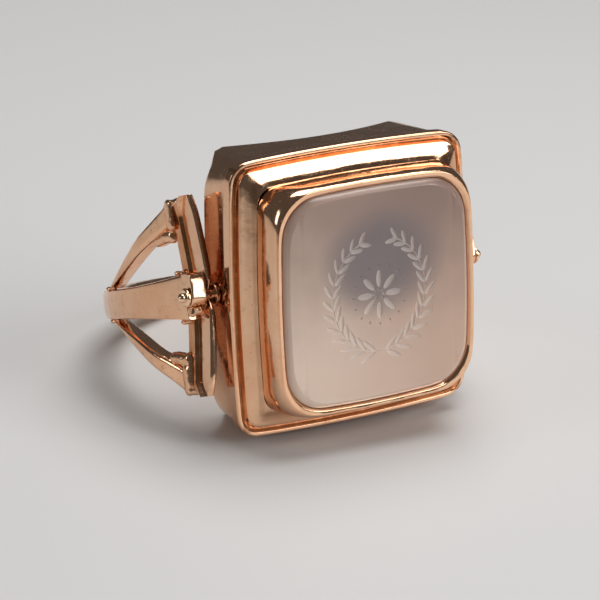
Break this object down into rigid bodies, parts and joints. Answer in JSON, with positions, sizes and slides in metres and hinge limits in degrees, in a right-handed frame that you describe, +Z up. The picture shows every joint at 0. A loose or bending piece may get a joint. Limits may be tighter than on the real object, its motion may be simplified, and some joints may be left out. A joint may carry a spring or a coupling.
{
  "type": "signet ring",
  "caption": "Finger ring with a deep rectangular gold case set with a flat stone; the case swivels on two short pins between forked shoulders.",
  "frame": {"origin": "middle of the underside of the whole ring as it rests on a table, case leaning slightly back and band behind it", "axes": "+X runs along the pivot pins to the wearer-side right, +Y from the stone to the back of the band, +Z up from the table"},
  "size_m": [0.0214, 0.0238, 0.0175],
  "materials": {
    "shank_gold": "polished rose gold, lightly worn",
    "prong_gold": "polished rose gold",
    "yoke_gold": "polished rose gold, bright front edge",
    "solder_gold": "rough solder-dressed rose gold",
    "case_gold": "soft polished rose gold with fine scratches",
    "moulding_gold": "bright polished rose gold",
    "setting_gold": "bright polished rose gold",
    "inner_gold": "dull unpolished rose gold",
    "pin_gold": "bright rose gold",
    "chalcedony": "polished milky stone, mauve-grey shading to peach"
  },
  "bodies": {
    "shank": {"shank_band": "shank_gold", "middle_prong_left": "prong_gold", "upper_prong_left": "prong_gold", "lower_prong_left": "prong_gold", "yoke_bar_left": "yoke_gold", "knuckle_left": "solder_gold", "middle_prong_right": "prong_gold", "upper_prong_right": "prong_gold", "lower_prong_right": "prong_gold", "yoke_bar_right": "yoke_gold", "knuckle_right": "solder_gold"},
    "case": {"bezel": "setting_gold", "case_wall": "case_gold", "front_moulding": "moulding_gold", "pivot_boss_left": "solder_gold", "pivot_boss_right": "solder_gold", "pivot_pin_left": "pin_gold", "pivot_pin_right": "pin_gold", "saddle_plate": "case_gold", "stone": "chalcedony", "stone_bed": "inner_gold"}
  },
  "joints": [
    {"name": "case_swivel", "type": "hinge", "parent": "shank", "child": "case", "pos_m": [0, -0.00593, 0.00871], "axis": [1, 0, 0], "continuous": true}
  ]
}
